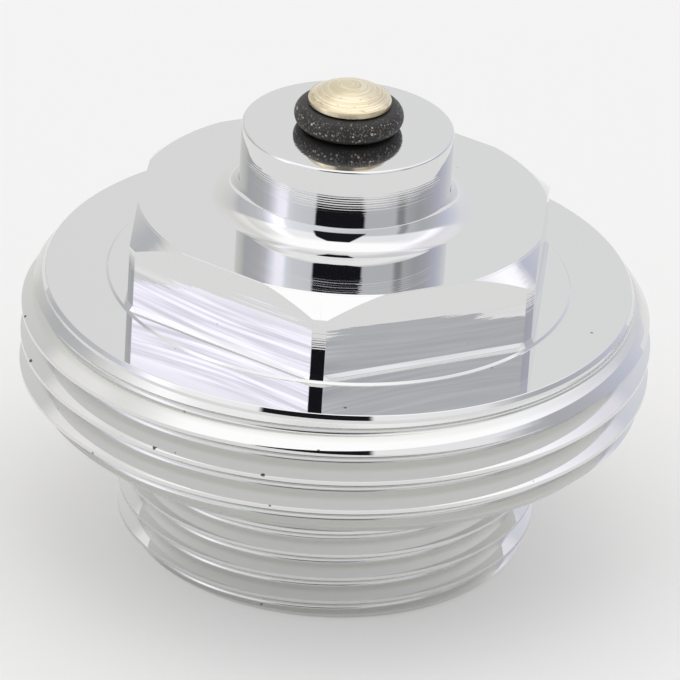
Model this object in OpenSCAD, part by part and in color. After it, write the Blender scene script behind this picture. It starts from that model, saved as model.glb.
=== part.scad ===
// Radiator valve adapter: a turned, plated body with two male threads, a spanner hexagon
// and a boss, in which a push pin slides that carries a small sealing ring.
// The body stands on its lower thread, with its axis on +Z and its bottom face at z = 0.

/* [Lower thread] */
// Outer diameter of the thread that screws into the valve
valve_thread_d = 20; // [18:0.5:22]
// Rise of that thread in one turn
valve_pitch = 1.25; // [1:0.05:1.4]
// Number of full ridges on the lower thread
valve_ridges = 4; // [3:1:4]
// Height of the middle of its lowest ridge above the bottom face
valve_first_ridge = 1.25; // [1:0.05:1.5]
// Height from the bottom face to the underside of the disc
shank_h = 7.4; // [7.2:0.1:10]
// Depth of the plain groove between the lower thread and the disc
relief_depth = 0.95; // [0.85:0.05:1.2]

/* [Threaded disc] */
// Outer diameter of the thread that takes the regulator head
head_thread_d = 30; // [28:0.5:34]
// Rise of that thread in one turn
head_pitch = 1.5; // [1.2:0.05:1.5]
// Number of full ridges on the disc
head_ridges = 3; // [2:1:3]
// Height of the middle of its lowest ridge above the disc's underside
head_first_ridge = 1.5; // [1:0.05:1.6]
// Thickness of the disc
disc_h = 6; // [5.9:0.1:8]
// Rounding of the disc's edges
disc_edge_r = 0.12; // [0.05:0.01:0.2]

/* [Spanner hexagon] */
// Width across the flats
hex_af = 19; // [18:0.5:20]
// Diameter of the turned corners of the hexagon
hex_corner_d = 21.44; // [21:0.02:21.6]
// Height of the hexagon above the disc
hex_h = 4.04; // [3:0.01:6]
// Diameter of the circle where the hexagon's chamfer starts on its top face
hex_chamfer_d = 19.5; // [19:0.05:20.6]
// Slope of that chamfer down from the top face, in degrees
hex_chamfer_angle = 41; // [20:1:45]
// Turn of the first corner from +X, in degrees
hex_turn = 26.5; // [0:0.5:59.5]
// Diameter of the thin collar round the foot of the hexagon
collar_d = 22.1; // [21.8:0.1:26]
// Height of the collar above the disc
collar_h = 0.25; // [0.1:0.05:0.6]

/* [Boss] */
// Diameter of the boss round the push pin
boss_d = 10; // [9:0.1:12]
// Height of the boss above the hexagon
boss_h = 3.89; // [3:0.01:6]
// Radius of the hollow fillet at the foot of the boss
boss_fillet_r = 1.05; // [0.4:0.05:1.4]
// Rounding of the boss's top edge
boss_edge_r = 0.1; // [0.05:0.01:0.3]

/* [Push pin] */
// Diameter of the pin
pin_d = 3.92; // [3:0.02:4.6]
// Radial play of the pin in its bore
pin_play = 0.05; // [0.02:0.01:0.08]
// Height of the plain rim under the pin's dome
pin_rim_h = 0.28; // [0.1:0.02:1]
// Height of the dome on the pin
pin_dome_h = 0.68; // [0.3:0.02:1.4]
// Travel of the pin, up from the ring's seat on the boss
pin_travel = 4; // [2:0.1:4.2]
// Length of the bore that guides the pin
guide_l = 4.9; // [4.2:0.1:6]
// Diameter of the foot at the pin's lower end
foot_d = 6.8; // [5.4:0.1:8]
// Height of the foot
foot_h = 3; // [2:0.1:3.6]

/* [Sealing ring] */
// Thickness of the ring's round section
ring_section = 1.16; // [0.8:0.02:1.3]
// Inner diameter of the ring
ring_id = 2.84; // [2.2:0.02:2.9]
// Play between the ring and what it touches
ring_play = 0.02; // [0.01:0.01:0.05]

/* [Hollow] */
// Diameter of the socket in the bottom, which goes over the valve's stem
socket_d = 14; // [12:0.2:15]
// Depth of the socket
socket_h = 8.5; // [5:0.1:8.5]
// Diameter of the chamber above it, in which the foot moves
chamber_d = 9; // [8.4:0.1:11]
// Width of the chamfers at the mouths of the socket and the pin's bore
mouth_chamfer = 0.4; // [0.1:0.05:0.6]

/* [Hidden] */
$fn = 96;

// Metric thread proportions, as shares of the pitch
DEPTH_SHARE = 0.6134;
CREST_SHARE = 0.125;
// Half the angle between the two flanks of a ridge
FLANK_ANGLE = 30;
// Overlap where two solids of one piece are joined or cut
EPS = 0.05;
// Vertical play at the end of the pin's travel
STOP_PLAY = 0.05;

// Heights of the steps, from the bottom face up
disc_z = shank_h;
disc_top_z = disc_z + disc_h;
collar_top_z = disc_top_z + collar_h;
hex_top_z = disc_top_z + hex_h;
boss_top_z = hex_top_z + boss_h;

// Inside, from the bore down
ceiling_z = boss_top_z - guide_l;
foot_top_z = ceiling_z - pin_travel - STOP_PLAY;

// The sealing ring rests on the boss and the pin's rim rests on the ring
ring_z = boss_top_z + ring_play + ring_section / 2;
ring_r = (ring_id + ring_section) / 2;
rim_z = ring_z + ring_section / 2 + ring_play;
dome_z = rim_z + pin_rim_h;
neck_r = ring_id / 2 - ring_play;

function depth(pitch) = DEPTH_SHARE * pitch;

// Section of one ridge of a thread, with its crest's middle at height z
function ridge(crest_r, pitch, z) =
    let (
        root_r = crest_r - depth(pitch),
        crest = CREST_SHARE * pitch / 2,
        foot = crest + depth(pitch) * tan(FLANK_ANGLE)
    )
    [[root_r, z - foot], [crest_r, z - crest], [crest_r, z + crest], [root_r, z + foot]];

// Sections of all ridges of a thread, one above the other
function ridges(crest_r, pitch, count, first_z) =
    [for (i = [0 : count - 1]) each ridge(crest_r, pitch, first_z + i * pitch)];

// Outline of the lower thread and its relief groove
module shank() {
    root_r = valve_thread_d / 2 - depth(valve_pitch);
    thread_end_z = valve_first_ridge + (valve_ridges - 1) * valve_pitch + valve_pitch / 2;
    rotate_extrude()
        polygon(concat(
            [[0, 0], [root_r, 0]],
            ridges(valve_thread_d / 2, valve_pitch, valve_ridges, valve_first_ridge),
            [
                [root_r, thread_end_z],
                [valve_thread_d / 2 - relief_depth, thread_end_z + relief_depth / 4],
                [valve_thread_d / 2 - relief_depth, disc_z + EPS],
                [0, disc_z + EPS]
            ]
        ));
}

// Disc with the regulator head's thread and a plain pilot above it
module threaded_disc() {
    root_r = head_thread_d / 2 - depth(head_pitch);
    rotate_extrude()
        polygon(concat(
            [[0, disc_z], [root_r - disc_edge_r, disc_z], [root_r, disc_z + disc_edge_r]],
            ridges(head_thread_d / 2, head_pitch, head_ridges, disc_z + head_first_ridge),
            [[root_r, disc_top_z - disc_edge_r], [root_r - disc_edge_r, disc_top_z], [0, disc_top_z]]
        ));
}

// Spanner hexagon with turned corners and a chamfered top, on its thin collar
module spanner_hexagon() {
    corner_r = hex_corner_d / 2;
    chamfer_r = hex_chamfer_d / 2;
    chamfer_z = hex_top_z - (corner_r - chamfer_r) * tan(hex_chamfer_angle);
    translate([0, 0, disc_top_z - EPS])
        cylinder(d = collar_d, h = collar_h + EPS);
    intersection() {
        rotate([0, 0, hex_turn])
            translate([0, 0, disc_top_z - EPS])
                cylinder(r = hex_af / 2 / cos(30), h = hex_h + EPS, $fn = 6);
        rotate_extrude()
            polygon([
                [0, disc_z], [corner_r, disc_z], [corner_r, chamfer_z],
                [chamfer_r, hex_top_z], [0, hex_top_z]
            ]);
    }
}

// Boss with a hollow fillet at its foot and a rounded top edge
module boss() {
    wall_r = boss_d / 2;
    rotate_extrude() {
        polygon([
            [0, hex_top_z - EPS], [wall_r, hex_top_z - EPS], [wall_r, boss_top_z - boss_edge_r],
            [wall_r - boss_edge_r, boss_top_z], [0, boss_top_z]
        ]);
        difference() {
            translate([wall_r - EPS, hex_top_z - EPS])
                square([boss_fillet_r + EPS, boss_fillet_r + EPS]);
            translate([wall_r + boss_fillet_r, hex_top_z + boss_fillet_r])
                circle(r = boss_fillet_r);
        }
    }
}

// Hollow of the body: socket, chamber and guide bore, with a chamfer at each mouth
module hollow() {
    socket_r = socket_d / 2;
    bore_r = pin_d / 2 + pin_play;
    translate([0, 0, -EPS])
        cylinder(r = socket_r, h = socket_h + EPS);
    translate([0, 0, -EPS])
        cylinder(r1 = socket_r + mouth_chamfer + EPS, r2 = socket_r, h = mouth_chamfer + EPS);
    translate([0, 0, socket_h - EPS])
        cylinder(d = chamber_d, h = ceiling_z - socket_h + EPS);
    translate([0, 0, ceiling_z - EPS])
        cylinder(r = bore_r, h = guide_l + 2 * EPS);
    translate([0, 0, boss_top_z - mouth_chamfer / 4])
        cylinder(r1 = bore_r, r2 = bore_r + mouth_chamfer / 4 + EPS, h = mouth_chamfer / 4 + EPS);
}

// Plated body, turned from one bar
module body() {
    color("silver")
        difference() {
            union() {
                shank();
                threaded_disc();
                spanner_hexagon();
                boss();
            }
            hollow();
        }
}

// Pin with a domed head, a neck for the ring, a plain shaft and a wide foot
module push_pin() {
    pin_r = pin_d / 2;
    foot_r = foot_d / 2;
    foot_chamfer = foot_h / 10;
    dome_r = (pin_r * pin_r + pin_dome_h * pin_dome_h) / (2 * pin_dome_h);
    color("goldenrod")
        rotate_extrude() {
            polygon([
                [0, foot_top_z - foot_h], [foot_r - foot_chamfer, foot_top_z - foot_h],
                [foot_r, foot_top_z - foot_h + foot_chamfer], [foot_r, foot_top_z - foot_chamfer],
                [foot_r - foot_chamfer, foot_top_z], [pin_r, foot_top_z], [pin_r, boss_top_z],
                [neck_r, boss_top_z], [neck_r, rim_z], [pin_r, rim_z], [pin_r, dome_z], [0, dome_z]
            ]);
            intersection() {
                translate([0, dome_z + pin_dome_h - dome_r])
                    circle(r = dome_r);
                translate([0, dome_z - EPS])
                    square([pin_r, pin_dome_h + 2 * EPS]);
            }
        }
}

// Rubber ring in the pin's neck
module sealing_ring() {
    color("dimgray")
        rotate_extrude()
            translate([ring_r, ring_z])
                circle(d = ring_section);
}

body();
push_pin();
sealing_ring();
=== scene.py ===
"""Looks of the radiator valve adapter: plated body with true helical threads, brass pin, rubber ring."""

import math

import bmesh
import bpy
import numpy as np
from mathutils import Matrix, Vector


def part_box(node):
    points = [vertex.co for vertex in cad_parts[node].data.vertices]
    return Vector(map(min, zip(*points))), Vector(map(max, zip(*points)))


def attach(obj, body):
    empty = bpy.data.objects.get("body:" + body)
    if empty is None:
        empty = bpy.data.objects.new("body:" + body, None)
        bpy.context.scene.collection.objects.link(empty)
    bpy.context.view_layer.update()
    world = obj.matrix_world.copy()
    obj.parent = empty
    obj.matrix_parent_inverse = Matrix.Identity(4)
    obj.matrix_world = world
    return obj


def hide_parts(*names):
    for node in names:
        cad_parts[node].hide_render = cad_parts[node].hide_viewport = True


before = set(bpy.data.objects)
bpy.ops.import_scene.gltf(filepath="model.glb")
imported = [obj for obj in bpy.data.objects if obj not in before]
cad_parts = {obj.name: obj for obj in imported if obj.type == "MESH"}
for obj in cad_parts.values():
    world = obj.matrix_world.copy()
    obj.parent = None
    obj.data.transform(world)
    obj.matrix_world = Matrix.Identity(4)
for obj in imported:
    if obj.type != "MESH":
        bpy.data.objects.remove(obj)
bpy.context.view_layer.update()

MM = 0.001

# Columns of the lathed meshes, round the axis
COLUMNS = 456
SHARP_ANGLE = math.radians(19)

# Steps of the body, in millimetres above the bottom face
DISC_Z = 7.4
DISC_TOP_Z = 13.4
HEX_TOP_Z = 17.44
BOSS_TOP_Z = 21.33

# Threads: crest radius, pitch, and height of the crest's middle where it faces the photograph's camera
HEAD_R, HEAD_PITCH, HEAD_CREST_Z = 15.0, 1.5, 8.9
VALVE_R, VALVE_PITCH, VALVE_CREST_Z = 10.0, 1.25, 1.25
THREAD_DEPTH = 0.6134
ROOT_ROUND = 0.1443
CREST_ROUND = 0.02

# Plain wall above the upper thread, and the relief groove above the lower one
PILOT_R = 14.07
RELIEF_R = 9.1

# Cones that cut the ends of the threads: height, radius at that height, growth of the radius into the thread
HEAD_LOW_END = ((7.45, PILOT_R, 0.98),)
HEAD_HIGH_END = ((13.03, PILOT_R, 1.0), (12.56, 14.54, 0.727))
VALVE_LOW_END = ((0.04, 9.26, 0.86),)
VALVE_HIGH_END = ((6.2, RELIEF_R, 1.7),)

# Bevel of the disc's top edge, which ends in a fine rounding
DISC_BEVEL_R, DISC_BEVEL_Z = 13.89, 13.2
DISC_EDGE_R = 0.07

# Spanner hexagon
HEX_APOTHEM = 9.5
HEX_CORNER_R = 10.79
HEX_CHAMFER_R = 9.75
HEX_CHAMFER_SLOPE = math.tan(math.radians(41))
HEX_FACE_AZ = math.radians(26.1)

# Feed of the turning tool, in one turn
FEED = 0.12

# Thin collar round the hexagon's foot, and the slope that the cutter left along each flat's foot
COLLAR_R = 11.05
LEDGE_R, LEDGE_Z = 10.95, 13.5
FOOT_OUT, FOOT_RISE = 0.17, 0.22
FOOT_GAP = 0.005

# Boss and its hollow fillet, which starts with a slight crease
BOSS_R = 5.0
BOSS_EDGE_R = 0.14
FILLET_R = 1.3
FILLET_START = math.radians(13)

# Hollow, and the outer edge of the bottom face
BOTTOM_R = 9.2
SOCKET_R, SOCKET_Z = 7.0, 8.5
SOCKET_CHAMFER = 0.4
CHAMBER_R, CEILING_Z = 4.5, 16.43
BORE_R = 2.01

# Push pin
PIN_R, PIN_RIM_H, PIN_DOME_H = 1.96, 0.28, 0.68
NECK_R = 1.4
PIN_FOOT_R, PIN_FOOT_H, PIN_FOOT_EDGE = 3.4, 3.0, 0.3

# Colours
# Plating, and its darker colour in the thread grooves, which is painted shade
PLATING, GROOVE_SHADE_PLATING = (0.765, 0.765, 0.763), (0.715, 0.72, 0.70)
# Bands of painted sheen on the hexagon's flats, darker and brighter than the plating
PAINTED_DARK_STREAK, PAINTED_BRIGHT_STREAK = (0.60, 0.60, 0.61), (0.92, 0.92, 0.92)
STAIN = (0.13, 0.11, 0.09)
DARK_BRASS, BRASS, BRASS_FLECK = (0.72, 0.62, 0.42), (0.88, 0.80, 0.62), (0.42, 0.33, 0.18)
RUBBER, FINE_DUST = (0.018, 0.017, 0.017), (0.17, 0.14, 0.115)
DARK_GRAIN, PALE_GRAIN = (0.16, 0.13, 0.10), (0.62, 0.56, 0.47)
TABLE, TABLE_GLOW = (0.95, 0.94, 0.922), (0.935, 0.935, 0.925)
BACKDROP = (0.93, 0.93, 0.93)
DARK_CAMERA = (0.006, 0.006, 0.008)

# Shares of the table's own glow that the camera and the metal see
GLOW_SEEN, GLOW_MIRRORED = 0.27, 0.2

# Camera of the photograph, which looks at the axis from the front
CAMERA_DISTANCE = 0.310986
CAMERA_ELEVATION = math.radians(27.945)
CAMERA_ROLL = math.radians(3.568)
CAMERA_AIM_Z = 0.008
AIM_PIXEL = (332.697, 375.976)
FOCAL_PIXELS = 6500.0
PHOTO_SIZE = 680
SENSOR_WIDTH = 36.0


def arc(centre_r, centre_z, radius, start, end, steps):
    """Points on an arc of a profile; angle 0 points outwards and a quarter turn points up."""
    angles = np.radians(np.linspace(start, end, steps + 1))
    return [(centre_r + radius * math.cos(a), centre_z + radius * math.sin(a)) for a in angles]


def tooth(crest_r, pitch):
    """Profile of one ridge, from the middle of the root below its crest to the middle of the one above."""
    depth = THREAD_DEPTH * pitch
    root_r = ROOT_ROUND * pitch
    floor_r = crest_r - depth
    half = []
    for angle in np.linspace(0, 60, 5):
        a = math.radians(angle)
        half.append((floor_r + root_r * (1 - math.cos(a)), -pitch / 2 + root_r * math.sin(a)))
    flank_r, flank_z = half[-1]
    crest_z = flank_z + (crest_r - flank_r) * math.tan(math.radians(30))
    cut = CREST_ROUND * pitch
    centre = (crest_r - cut, crest_z + cut * math.tan(math.radians(30)))
    for angle in np.linspace(-60, 0, 3):
        a = math.radians(angle)
        half.append((centre[0] + cut * math.cos(a), centre[1] + cut * math.sin(a)))
    return np.array(half + [(r, -z) for r, z in reversed(half)])


def thread_rows(az, crest_r, pitch, crest_z, low, high):
    """Rows of a right-handed thread between two ends, each given by the cones that cut it.

    Each row follows the helix and stops at the ends. Where a cone cuts a ridge, a row lies on the edge.
    """
    profile = tooth(crest_r, pitch)
    low_z, low_r, _ = low[0]
    high_z, high_r, _ = high[0]

    def limit(z):
        cones = [r + (z - base) * slope for base, r, slope in low]
        cones += [r + (base - z) * slope for base, r, slope in high]
        return np.minimum.reduce(cones)

    lift = crest_z + pitch * az / (2 * math.pi)
    first = int(math.floor((low_z - crest_z) / pitch)) - 1
    last = int(math.ceil((high_z - crest_z) / pitch)) + 1
    heights, radii = [], []
    for turn in range(first, last + 1):
        for (r0, z0), (r1, z1) in zip(profile[:-1], profile[1:]):
            za, zb = z0 + turn * pitch + lift, z1 + turn * pitch + lift
            fa, fb = limit(za) - r0, limit(zb) - r1
            crosses = fa * fb < 0
            t = np.where(crosses, fa / np.where(crosses, fa - fb, 1), 0)
            heights += [za, za + t * (zb - za)]
            radii += [np.full_like(az, r0), r0 + t * (r1 - r0)]
    z = np.array(heights)
    r = np.array(radii)
    r = np.minimum(r, limit(z))
    below, above = z < low_z, z > high_z
    r = np.where(below, low_r, np.where(above, high_r, r))
    z = np.clip(z, low_z, high_z)
    return r, z


def hex_radius(az):
    """Distance from the axis to the hexagon's wall, with its turned corners."""
    sixth = math.pi / 3
    from_face = (az - HEX_FACE_AZ + sixth / 2) % sixth - sixth / 2
    return np.minimum(HEX_APOTHEM / np.cos(from_face), HEX_CORNER_R)


def body_columns():
    """Azimuths of the body's columns, with some moved onto the hexagon's edges."""
    az = np.linspace(0, 2 * math.pi, COLUMNS + 1)
    corner = math.acos(HEX_APOTHEM / HEX_CORNER_R)
    arc_end = math.acos(HEX_APOTHEM / HEX_CHAMFER_R)
    for face in range(6):
        for side in (-corner, -arc_end, arc_end, corner):
            edge = (HEX_FACE_AZ + face * math.pi / 3 + side) % (2 * math.pi)
            az[1 + np.abs(az[1:-1] - edge).argmin()] = edge
    return az


def lathe(name, az, r, z, closed):
    """Mesh of rows of points round the axis. The last column lies on the first one, row shifts allowed."""
    rows, columns = r.shape
    x, y = r * np.sin(az), -r * np.cos(az)
    co = np.stack([x, y, z], -1).reshape(-1, 3) * MM
    i = np.arange(rows if closed else rows - 1)[:, None]
    j = np.arange(columns - 1)[None, :]
    up = (i + 1) % rows
    quads = np.stack([i * columns + j, i * columns + j + 1, up * columns + j + 1, up * columns + j], -1)
    bm = bmesh.new()
    verts = [bm.verts.new(p) for p in co]
    for quad in quads.reshape(-1, 4):
        a, b, c, d = (verts[k] for k in quad)
        bm.faces.new((a, b, c, d))
    bmesh.ops.remove_doubles(bm, verts=bm.verts, dist=4e-7)
    bmesh.ops.dissolve_degenerate(bm, edges=bm.edges, dist=2e-7)
    bmesh.ops.recalc_face_normals(bm, faces=bm.faces)
    mesh = bpy.data.meshes.new(name)
    bm.to_mesh(mesh)
    bm.free()
    return smooth_object(name, mesh)


def corner_normals(mesh):
    """Normals of the face corners. Each is shared by the faces within the sharp angle, the large ones first.

    So a long face that runs into a round edge keeps its own normal and mirrors without bending.
    """
    corners, faces = len(mesh.loops), len(mesh.polygons)
    vertex = np.empty(corners, int)
    size = np.empty(faces, int)
    area = np.empty(faces)
    normal = np.empty(faces * 3)
    mesh.loops.foreach_get("vertex_index", vertex)
    mesh.polygons.foreach_get("loop_total", size)
    mesh.polygons.foreach_get("area", area)
    mesh.polygons.foreach_get("normal", normal)
    normal = normal.reshape(-1, 3)
    weight = (area / area.max()) ** 2
    face = np.repeat(np.arange(faces), size)
    order = np.argsort(vertex, kind="stable")
    count = np.bincount(vertex)
    start = np.cumsum(count) - count
    shared = np.empty((corners, 3))
    for valence in np.unique(count):
        near = order[start[count == valence][:, None] + np.arange(valence)]
        n = normal[face[near]]
        smooth = np.einsum("nik,njk->nij", n, n) > math.cos(SHARP_ANGLE)
        shared[near] = np.einsum("nij,nj,njk->nik", smooth, weight[face[near]], n)
    return shared / np.linalg.norm(shared, axis=1, keepdims=True)


def smooth_object(name, mesh):
    """Smooth-shaded object in the scene."""
    for poly in mesh.polygons:
        poly.use_smooth = True
    mesh.normals_split_custom_set(corner_normals(mesh).tolist())
    obj = bpy.data.objects.new(name, mesh)
    bpy.context.scene.collection.objects.link(obj)
    return obj


def stack(az, *sections):
    """Rows of all sections, one after another. A section is a list of points or a pair of row arrays."""
    radii, heights = [], []
    for section in sections:
        if isinstance(section, tuple):
            radii.append(section[0])
            heights.append(section[1])
            continue
        for r, z in section:
            radii.append(np.broadcast_to(r, az.shape)[None])
            heights.append(np.broadcast_to(z, az.shape)[None])
    return np.concatenate(radii), np.concatenate(heights)


def make_body():
    az = body_columns()
    hex_r = hex_radius(az)
    top_r = np.minimum(hex_r, HEX_CHAMFER_R)
    chamfer_z = HEX_TOP_Z - (hex_r - top_r) * HEX_CHAMFER_SLOPE
    foot_r = np.minimum(hex_r + FOOT_OUT, LEDGE_R - FOOT_GAP)
    lower_thread = thread_rows(az, VALVE_R, VALVE_PITCH, VALVE_CREST_Z, VALVE_LOW_END, VALVE_HIGH_END)
    head_thread = thread_rows(az, HEAD_R, HEAD_PITCH, HEAD_CREST_Z, HEAD_LOW_END, HEAD_HIGH_END)
    fillet_r = BOSS_R + FILLET_R * math.cos(FILLET_START)
    fillet = [
        (fillet_r - FILLET_R * math.cos(a), HEX_TOP_Z + FILLET_R * (1 - math.sin(a)))
        for a in np.linspace(math.pi / 2, FILLET_START, 17)
    ]
    r, z = stack(
        az,
        [(SOCKET_R + SOCKET_CHAMFER, 0.0), (BOTTOM_R, 0.0)],
        lower_thread,
        [(RELIEF_R, 6.25), (RELIEF_R, DISC_Z - 0.1), (RELIEF_R + 0.1, DISC_Z), (PILOT_R - 0.05, DISC_Z)],
        head_thread,
        [(PILOT_R, DISC_BEVEL_Z)],
        arc(DISC_BEVEL_R, DISC_TOP_Z - DISC_EDGE_R, DISC_EDGE_R, 36, 90, 4),
        [(COLLAR_R, DISC_TOP_Z), (LEDGE_R, LEDGE_Z), (foot_r, LEDGE_Z)],
        [(hex_r, LEDGE_Z + FOOT_RISE), (hex_r, chamfer_z), (top_r, HEX_TOP_Z)],
        [(8.0, HEX_TOP_Z)],
        fillet,
        [(BOSS_R, BOSS_TOP_Z - BOSS_EDGE_R)],
        arc(BOSS_R - BOSS_EDGE_R, BOSS_TOP_Z - BOSS_EDGE_R, BOSS_EDGE_R, 12, 90, 7),
        [(BORE_R + 0.1, BOSS_TOP_Z), (BORE_R, BOSS_TOP_Z - 0.1), (BORE_R, CEILING_Z)],
        [(CHAMBER_R, CEILING_Z), (CHAMBER_R, SOCKET_Z), (SOCKET_R, SOCKET_Z), (SOCKET_R, SOCKET_CHAMFER)],
    )
    return lathe("plated_body", az, r, z, closed=True)


def make_pin():
    """Brass pin: domed head, neck for the ring, shaft and foot."""
    box_low, box_high = (v.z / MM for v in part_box("push_pin"))
    foot_top_z = box_low + PIN_FOOT_H
    dome_z = box_high - PIN_DOME_H
    rim_z = dome_z - PIN_RIM_H
    dome_r = (PIN_R**2 + PIN_DOME_H**2) / (2 * PIN_DOME_H)
    dome_angle = math.asin(PIN_R / dome_r)
    dome = [
        (dome_r * math.sin(a), box_high - dome_r * (1 - math.cos(a)))
        for a in np.linspace(dome_angle * 0.985, 0.0, 15)
    ]
    outline = [
        (0.0, box_low), (PIN_FOOT_R - PIN_FOOT_EDGE, box_low), (PIN_FOOT_R, box_low + PIN_FOOT_EDGE),
        (PIN_FOOT_R, foot_top_z - PIN_FOOT_EDGE), (PIN_FOOT_R - PIN_FOOT_EDGE, foot_top_z),
        (PIN_R, foot_top_z), (PIN_R, BOSS_TOP_Z), (NECK_R, BOSS_TOP_Z), (NECK_R, rim_z),
        (PIN_R - 0.06, rim_z), (PIN_R, rim_z + 0.06), (PIN_R, dome_z - 0.05), (PIN_R - 0.03, dome_z + 0.03),
    ]
    az = np.linspace(0, 2 * math.pi, 193)
    r, z = stack(az, outline, dome)
    return lathe("brass_pin", az, r, z, closed=False)


def make_ring():
    """Rubber ring of round section, as wide and high as in the frame."""
    low, high = (v.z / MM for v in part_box("sealing_ring"))
    section_r = (high - low) / 2
    centre_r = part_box("sealing_ring")[1].x / MM - section_r
    az = np.linspace(0, 2 * math.pi, 241)
    angles = np.linspace(0, 2 * math.pi, 49)[:-1]
    centre_z = (low + high) / 2
    section = [(centre_r + section_r * math.cos(a), centre_z + section_r * math.sin(a)) for a in angles]
    r, z = stack(az, section)
    return lathe("rubber_ring", az, r, z, closed=True)


def node(tree, kind, **values):
    """New shader node with its properties set; a value for an input is given by the input's name."""
    made = tree.nodes.new(kind)
    for name, value in values.items():
        if name in made.inputs.keys():
            made.inputs[name].default_value = value
        else:
            setattr(made, name, value)
    return made


def math_node(tree, operation, a, b=None):
    made = tree.nodes.new("ShaderNodeMath")
    made.operation = operation
    for socket, value in zip(made.inputs, (a, b)):
        if value is None:
            continue
        if isinstance(value, (int, float)):
            socket.default_value = value
        else:
            tree.links.new(value, socket)
    return made.outputs[0]


def blend(tree, factor, first, second):
    """Mix of two colours; each is an output or a colour of its own."""
    made = tree.nodes.new("ShaderNodeMix")
    made.data_type = "RGBA"
    for name, value in (("Factor", factor), ("A", first), ("B", second)):
        if isinstance(value, tuple):
            made.inputs[name].default_value = (*value, 1)
        else:
            tree.links.new(value, made.inputs[name])
    return made.outputs["Result"]


def new_material(name):
    material = bpy.data.materials.new(name)
    material.use_nodes = True
    return material, material.node_tree, material.node_tree.nodes["Principled BSDF"]


def rise(tree, value, low, high):
    """0 below the low value and 1 above the high one, with a smooth step between them."""
    made = tree.nodes.new("ShaderNodeMapRange")
    made.interpolation_type = "SMOOTHSTEP"
    tree.links.new(value, made.inputs["Value"])
    made.inputs["From Min"].default_value = low
    made.inputs["From Max"].default_value = high
    return made.outputs["Result"]


def fall(tree, value, low, high):
    """1 below the low value and 0 above the high one."""
    return math_node(tree, "SUBTRACT", 1.0, rise(tree, value, low, high))


def place_on_part(tree):
    """Radius, azimuth and height of the shaded point, in millimetres and radians."""
    place = tree.nodes.new("ShaderNodeTexCoord")
    axes = tree.nodes.new("ShaderNodeSeparateXYZ")
    tree.links.new(place.outputs["Object"], axes.inputs[0])
    x, y, z = (math_node(tree, "MULTIPLY", axis, 1000.0) for axis in axes.outputs)
    radius = math_node(tree, "SQRT", math_node(
        tree, "ADD", math_node(tree, "MULTIPLY", x, x), math_node(tree, "MULTIPLY", y, y)))
    azimuth = math_node(tree, "ARCTAN2", x, math_node(tree, "MULTIPLY", y, -1.0))
    return radius, azimuth, z


def noise(tree, x, y, z, detail=2.0):
    """Noise from 0 to 1 at a point given by three values, which set how fine it is in each direction."""
    vector = tree.nodes.new("ShaderNodeCombineXYZ")
    for socket, value in zip(vector.inputs, (x, y, z)):
        if isinstance(value, (int, float)):
            socket.default_value = value
        else:
            tree.links.new(value, socket)
    made = tree.nodes.new("ShaderNodeTexNoise")
    made.inputs["Scale"].default_value = 1.0
    made.inputs["Detail"].default_value = detail
    tree.links.new(vector.outputs[0], made.inputs["Vector"])
    return made.outputs["Fac"]


def times(tree, *values):
    """Product of outputs and numbers."""
    product = values[0]
    for value in values[1:]:
        product = math_node(tree, "MULTIPLY", product, value)
    return product


def between(tree, value, low, high, soft):
    """1 between two values and 0 outside them, with soft steps inside."""
    return times(tree, rise(tree, value, low, low + soft), fall(tree, value, high - soft, high))


def groove_depth(tree, radius, height):
    """1 at the bottom of the thread grooves, where the plating gets painted shade and more roughness, and 0
    on the crests.
    """
    parts = []
    for low_z, high_z, crest_r, deep, shallow in (
        (DISC_Z - 0.1, DISC_BEVEL_Z - 0.15, HEAD_R, 0.65, 0.4),
        (0.0, DISC_Z - 0.1, VALVE_R, 0.58, 0.34),
    ):
        in_groove = fall(tree, radius, crest_r - deep, crest_r - shallow)
        parts.append(times(tree, between(tree, height, low_z, high_z, 0.05), in_groove))
    return math_node(tree, "ADD", *parts)


def boss_rings(tree, radius, azimuth, height):
    """Turned rings on the boss's wall, where the tool was set down again, and fine ones on its top.

    The turned corners of the hexagon have the same rings.
    """
    wavy = noise(tree, times(tree, height, 15.0), times(tree, azimuth, 0.25), 0.0, 1.5)
    feed = math_node(tree, "SINE", times(tree, height, 2 * math.pi / FEED))
    wall = math_node(tree, "ADD", times(tree, wavy, 5.0), feed)
    on_boss = times(tree, between(tree, height, 19.0, 20.3, 0.3),
                    between(tree, radius, BOSS_R - 0.1, BOSS_R + 0.1, 0.02))
    on_corners = times(tree, between(tree, height, 14.9, 16.5, 0.4),
                       between(tree, radius, HEX_CORNER_R - 0.004, HEX_CORNER_R + 0.04, 0.001))
    on_wall = math_node(tree, "ADD", on_boss, on_corners)
    top = noise(tree, times(tree, radius, 15.0), times(tree, azimuth, 1.2), 0.0, 2.0)
    on_top = times(tree, rise(tree, height, BOSS_TOP_Z - 0.01, BOSS_TOP_Z - 0.005),
                   fall(tree, radius, 3.2, 4.6))
    return math_node(tree, "ADD", times(tree, wall, on_wall), times(tree, top, on_top, 1.8))


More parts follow.
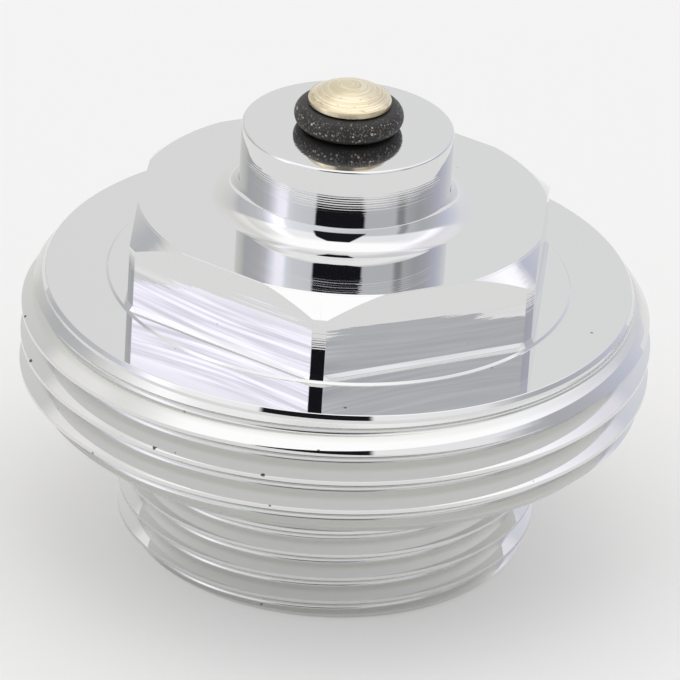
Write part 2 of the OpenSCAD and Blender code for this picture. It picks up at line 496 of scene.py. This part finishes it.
def flat_streaks(tree, radius, azimuth, height):
    """Long, slightly bowed marks of the cutter on the hexagon's flats, fine ones over broad ones.

    Gives their relief, a painted sheen along them (bright and dark bands that stand for reflections), and
    how much of that painted sheen shows low on each flat, less on the right.
    """
    sixth = math.pi / 3
    along = math_node(tree, "SUBTRACT", azimuth, HEX_FACE_AZ - sixth / 2)
    along = math_node(tree, "SUBTRACT", math_node(tree, "FLOORED_MODULO", along, sixth), sixth / 2)
    level = math_node(tree, "ADD", height, times(tree, along, along, -0.9))
    level = math_node(tree, "ADD", level, times(tree, along, 0.25))
    face = times(tree, azimuth, 0.35)
    broad = noise(tree, times(tree, level, 1.5), times(tree, along, 0.5), face, 1.0)
    fine = noise(tree, times(tree, level, 5.5), times(tree, along, 1.1), face, 2.0)
    on_flats = times(tree, between(tree, height, LEDGE_Z + 0.02, HEX_TOP_Z - 0.04, 0.02),
                     between(tree, radius, HEX_APOTHEM - 0.2, HEX_CORNER_R - 0.005, 0.005))
    both = math_node(tree, "ADD", times(tree, broad, 16.0), times(tree, fine, 4.5))
    other_face = math_node(tree, "ADD", face, 7.0)
    painted_sheen = noise(tree, times(tree, level, 4.2), times(tree, along, 1.3), other_face, 3.0)
    less_on_right = math_node(tree, "SUBTRACT", 1.0, times(tree, rise(tree, azimuth, -0.1, 0.1), 0.7))
    # Where the painted sheen shows: low on the flats, less on the right
    painted_sheen_share = times(tree, on_flats, fall(tree, height, 15.2, 16.1), less_on_right)
    return times(tree, both, on_flats), rise(tree, painted_sheen, 0.3, 0.7), painted_sheen_share


def specks(tree, per_metre, share, size):
    """1 on small round specks and 0 elsewhere, and a random shade for each. A share of the cells has one."""
    place = tree.nodes.new("ShaderNodeTexCoord")
    cells = tree.nodes.new("ShaderNodeTexVoronoi")
    cells.inputs["Scale"].default_value = per_metre
    tree.links.new(place.outputs["Object"], cells.inputs["Vector"])
    chance = tree.nodes.new("ShaderNodeSeparateColor")
    tree.links.new(cells.outputs["Color"], chance.inputs[0])
    speck_size = times(tree, rise(tree, chance.outputs[0], 1.0 - share, 1.0), size)
    return math_node(tree, "LESS_THAN", cells.outputs["Distance"], speck_size), chance.outputs[1]


def chrome_material():
    """Bright plating with painted shade and more roughness in the grooves, painted sheen in streaks low on
    the flats, marks of the tools, a few pits and nicks on the crests.
    """
    material, tree, shader = new_material("bright_plating")
    radius, azimuth, height = place_on_part(tree)
    depth = groove_depth(tree, radius, height)
    streaks, painted_sheen, painted_sheen_share = flat_streaks(tree, radius, azimuth, height)
    # Painted shade: the plating's colour is darker in the thread grooves
    plating = blend(tree, depth, PLATING, GROOVE_SHADE_PLATING)
    # Painted sheen: bright and dark bands along the cutter's streaks, painted into the colour low on the
    # flats
    plating = blend(tree, painted_sheen_share, plating, blend(tree, painted_sheen, PAINTED_DARK_STREAK, PAINTED_BRIGHT_STREAK))
    nick, _ = specks(tree, 2400.0, share=0.10, size=0.34)
    on_crests = times(tree, rise(tree, radius, HEAD_R - 0.14, HEAD_R - 0.1),
                      between(tree, height, 7.5, 13.0, 0.05))
    pit, _ = specks(tree, 1500.0, share=0.022, size=0.16)
    stains = math_node(tree, "MAXIMUM", times(tree, nick, on_crests), times(tree, pit, 0.8))
    tree.links.new(blend(tree, stains, plating, STAIN), shader.inputs["Base Color"])
    rough = math_node(tree, "ADD", times(tree, depth, 0.17), 0.03)
    tree.links.new(rough, shader.inputs["Roughness"])
    bump = tree.nodes.new("ShaderNodeBump")
    bump.inputs["Distance"].default_value = 1e-6
    marks = math_node(tree, "ADD", boss_rings(tree, radius, azimuth, height), streaks)
    tree.links.new(marks, bump.inputs["Height"])
    tree.links.new(bump.outputs["Normal"], shader.inputs["Normal"])
    shader.inputs["Metallic"].default_value = 1.0
    return material


def brass_material():
    """Turned brass: fine rings round the axis with a few dark flecks in them."""
    material, tree, shader = new_material("turned_brass")
    radius, azimuth, height = place_on_part(tree)
    rings = noise(tree, times(tree, radius, 19.0), times(tree, azimuth, 0.35), times(tree, height, 3.0), 2.0)
    flecks = noise(tree, times(tree, radius, 7.0), times(tree, azimuth, 4.0), 5.0, 2.0)
    dark = times(tree, rise(tree, flecks, 0.60, 0.70), rise(tree, radius, 0.9, 1.5), 0.55)
    turned = blend(tree, rise(tree, rings, 0.36, 0.62), DARK_BRASS, BRASS)
    tree.links.new(blend(tree, dark, turned, BRASS_FLECK), shader.inputs["Base Color"])
    shader.inputs["Metallic"].default_value = 1.0
    shader.inputs["Roughness"].default_value = 0.24
    bump = tree.nodes.new("ShaderNodeBump")
    bump.inputs["Distance"].default_value = 6e-6
    tree.links.new(rings, bump.inputs["Height"])
    tree.links.new(bump.outputs["Normal"], shader.inputs["Normal"])
    return material


def rubber_material():
    """Black rubber with pale dust, most of it on the side."""
    material, tree, shader = new_material("dusty_rubber")
    radius, azimuth, height = place_on_part(tree)
    grain, shade = specks(tree, 7000.0, share=0.62, size=0.44)
    fine_grain, _ = specks(tree, 14000.0, share=0.8, size=0.5)
    dusty = between(tree, height, BOSS_TOP_Z + 0.12, BOSS_TOP_Z + 1.22, 0.3)
    black = blend(tree, times(tree, fine_grain, dusty), RUBBER, FINE_DUST)
    pale = blend(tree, shade, DARK_GRAIN, PALE_GRAIN)
    tree.links.new(blend(tree, times(tree, grain, dusty), black, pale), shader.inputs["Base Color"])
    shader.inputs["Roughness"].default_value = 0.5
    bump = tree.nodes.new("ShaderNodeBump")
    bump.inputs["Distance"].default_value = 1.2e-5
    uneven = noise(tree, times(tree, radius, 6.0), times(tree, azimuth, 12.0), times(tree, height, 6.0), 3.0)
    tree.links.new(uneven, bump.inputs["Height"])
    tree.links.new(bump.outputs["Normal"], shader.inputs["Normal"])
    return material


def make_floor():
    """White table, 6 m wide. The camera and the metal see part of it as glow, and it keeps the shadow."""
    half = 3.0
    corners = [(-half, -half, 0), (half, -half, 0), (half, half, 0), (-half, half, 0)]
    mesh = bpy.data.meshes.new("floor")
    mesh.from_pydata(corners, [], [(0, 1, 2, 3)])
    floor = bpy.data.objects.new("floor", mesh)
    bpy.context.scene.collection.objects.link(floor)
    material, tree, shader = new_material("white_table")
    shader.inputs["Base Color"].default_value = (*TABLE, 1)
    shader.inputs["Roughness"].default_value = 0.9
    shader.inputs["Specular IOR Level"].default_value = 0.0
    glow = node(tree, "ShaderNodeEmission", Color=(*TABLE_GLOW, 1), Strength=1.0)
    rays = tree.nodes.new("ShaderNodeLightPath")
    share = math_node(tree, "ADD", times(tree, rays.outputs["Is Camera Ray"], GLOW_SEEN),
                      times(tree, rays.outputs["Is Glossy Ray"], GLOW_MIRRORED))
    mix = tree.nodes.new("ShaderNodeMixShader")
    tree.links.new(share, mix.inputs["Fac"])
    tree.links.new(shader.outputs[0], mix.inputs[1])
    tree.links.new(glow.outputs[0], mix.inputs[2])
    tree.links.new(mix.outputs[0], tree.nodes["Material Output"].inputs["Surface"])
    mesh.materials.append(material)
    return floor


def dark_patch(tree, azimuth, elevation):
    """Outline of the dark camera and its stand in front of the part; the angles are in degrees."""
    right = math_node(tree, "ADD", azimuth, times(tree, math_node(tree, "SUBTRACT", elevation, 28.0), 0.4))
    slant = math_node(tree, "SUBTRACT", elevation, times(tree, azimuth, 1.45))
    sides = times(tree, rise(tree, azimuth, -31.0, -28.0), fall(tree, right, 22.0, 25.0))
    top = times(tree, fall(tree, elevation, 57.0, 59.5), fall(tree, slant, 84.0, 89.0))
    return times(tree, sides, top, rise(tree, elevation, 20.0, 23.0))


# Light round the part, given as a table: azimuth in degrees, level of its red, green and blue.
# The low walls end at the elevation LOW_TOP and the high ones start at HIGH_FOOT, in degrees.
LOW_WALLS = (
    (-180, (0.86, 0.87, 0.865)), (-160, (0.80, 0.80, 0.78)), (-140, (0.72, 0.72, 0.71)),
    (-128, (0.56, 0.57, 0.60)), (-100, (0.63, 0.63, 0.66)), (-90, (0.72, 0.72, 0.80)),
    (-82, (1.00, 1.00, 1.12)), (-74, (1.38, 1.36, 1.52)), (-65, (1.44, 1.42, 1.58)),
    (-60, (1.00, 1.03, 1.11)), (-52, (0.91, 0.93, 0.99)), (-30, (0.84, 0.86, 0.91)),
    (24, (0.68, 0.69, 0.73)), (59, (0.68, 0.69, 0.73)), (64, (0.36, 0.36, 0.38)),
    (69, (0.36, 0.36, 0.38)), (74, (0.57, 0.58, 0.60)), (90, (0.49, 0.50, 0.53)),
    (107, (0.55, 0.55, 0.61)), (123, (0.62, 0.64, 0.76)), (150, (0.83, 0.84, 0.90)),
    (180, (0.86, 0.87, 0.865)),
)
HIGH_WALLS = (
    (-180, (0.92, 0.92, 0.91)), (-150, (0.82, 0.81, 0.79)), (-128, (1.00, 0.99, 0.97)),
    (-118, (0.84, 0.84, 0.82)), (-95, (1.00, 1.00, 1.00)), (-80, (1.50, 1.48, 1.56)),
    (-62, (1.10, 1.10, 1.12)), (20, (1.02, 1.02, 1.03)), (70, (0.98, 0.98, 1.02)),
    (100, (1.05, 1.05, 1.10)), (112, (1.30, 1.30, 1.36)), (122, (1.20, 1.19, 1.26)),
    (134, (0.93, 0.91, 0.98)), (155, (0.95, 0.94, 0.98)), (180, (0.92, 0.92, 0.91)),
)
LOW_TOP, HIGH_FOOT = 29.0, 35.0

# Level straight above, and the greatest level that the walls' colour ramps can hold
TENT_TOP_LEVEL = 1.28
LEVEL_SCALE = 2.0


def walls(tree, azimuth, levels):
    """Colour of the walls at an azimuth, divided by the level scale."""
    made = tree.nodes.new("ShaderNodeValToRGB")
    elements = made.color_ramp.elements
    while len(elements) > 1:
        elements.remove(elements[-1])
    for index, (place, colour) in enumerate(levels):
        element = elements[0] if index == 0 else elements.new(1.0)
        element.position = place / 360 + 0.5
        element.color = (*(level / LEVEL_SCALE for level in colour), 1)
    turn = math_node(tree, "ADD", math_node(tree, "DIVIDE", azimuth, 360.0), 0.5)
    tree.links.new(turn, made.inputs["Fac"])
    return made.outputs["Color"]


def make_world():
    """Light tent: pale walls whose level changes round the part, bright above, a dark patch at the front."""
    world = bpy.data.worlds.new("light_tent")
    bpy.context.scene.world = world
    world.use_nodes = True
    tree = world.node_tree
    background = tree.nodes["Background"]
    place = tree.nodes.new("ShaderNodeTexCoord")
    axes = tree.nodes.new("ShaderNodeSeparateXYZ")
    tree.links.new(place.outputs["Generated"], axes.inputs[0])
    x, y, z = axes.outputs
    degrees = 180 / math.pi
    azimuth = times(tree, math_node(tree, "ARCTAN2", x, math_node(tree, "MULTIPLY", y, -1.0)), degrees)
    elevation = times(tree, math_node(tree, "ARCSINE", z), degrees)
    low, high = (walls(tree, azimuth, levels) for levels in (LOW_WALLS, HIGH_WALLS))
    tent = blend(tree, rise(tree, elevation, LOW_TOP, HIGH_FOOT), low, high)
    tent = blend(tree, rise(tree, elevation, 50.0, 66.0), tent, (TENT_TOP_LEVEL / LEVEL_SCALE,) * 3)
    tent = blend(tree, dark_patch(tree, azimuth, elevation), tent, DARK_CAMERA)
    background.inputs["Strength"].default_value = LEVEL_SCALE
    tree.links.new(tent, background.inputs["Color"])
    seen = node(tree, "ShaderNodeBackground", Color=(*BACKDROP, 1), Strength=1.0)
    rays = tree.nodes.new("ShaderNodeLightPath")
    choose = tree.nodes.new("ShaderNodeMixShader")
    tree.links.new(rays.outputs["Is Camera Ray"], choose.inputs["Fac"])
    tree.links.new(background.outputs[0], choose.inputs[1])
    tree.links.new(seen.outputs[0], choose.inputs[2])
    tree.links.new(choose.outputs[0], tree.nodes["World Output"].inputs["Surface"])


def make_camera():
    """Camera at the photograph's place; its roll and aim put the axis where the photograph has it."""
    data = bpy.data.cameras.new("camera")
    data.sensor_width = SENSOR_WIDTH
    data.lens = FOCAL_PIXELS / PHOTO_SIZE * SENSOR_WIDTH
    data.clip_start, data.clip_end = 0.01, 20
    camera = bpy.data.objects.new("camera", data)
    bpy.context.scene.collection.objects.link(camera)
    e = CAMERA_ELEVATION
    back = Vector((0, -math.cos(e), math.sin(e)))
    right, up = Vector((1, 0, 0)), Vector((0, math.sin(e), math.cos(e)))
    c, s = math.cos(CAMERA_ROLL), math.sin(CAMERA_ROLL)
    image_right, image_up = c * right + s * up, c * up - s * right
    off_x = PHOTO_SIZE / 2 - AIM_PIXEL[0]
    off_y = AIM_PIXEL[1] - PHOTO_SIZE / 2
    forward = (-back * FOCAL_PIXELS + image_right * off_x + image_up * off_y).normalized()
    side = forward.cross(image_up).normalized()
    top = side.cross(forward)
    camera.matrix_world = Matrix((
        (side.x, top.x, -forward.x, back.x * CAMERA_DISTANCE),
        (side.y, top.y, -forward.y, back.y * CAMERA_DISTANCE),
        (side.z, top.z, -forward.z, back.z * CAMERA_DISTANCE + CAMERA_AIM_Z),
        (0, 0, 0, 1),
    ))
    bpy.context.scene.camera = camera


body = make_body()
body.data.materials.append(chrome_material())
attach(body, "fitting")
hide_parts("body")

pin = make_pin()
pin.data.materials.append(brass_material())
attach(pin, "plunger")
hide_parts("push_pin")

ring = make_ring()
ring.data.materials.append(rubber_material())
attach(ring, "plunger")
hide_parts("sealing_ring")

make_floor()
make_world()
make_camera()
bpy.context.scene.view_settings.view_transform = "Standard"
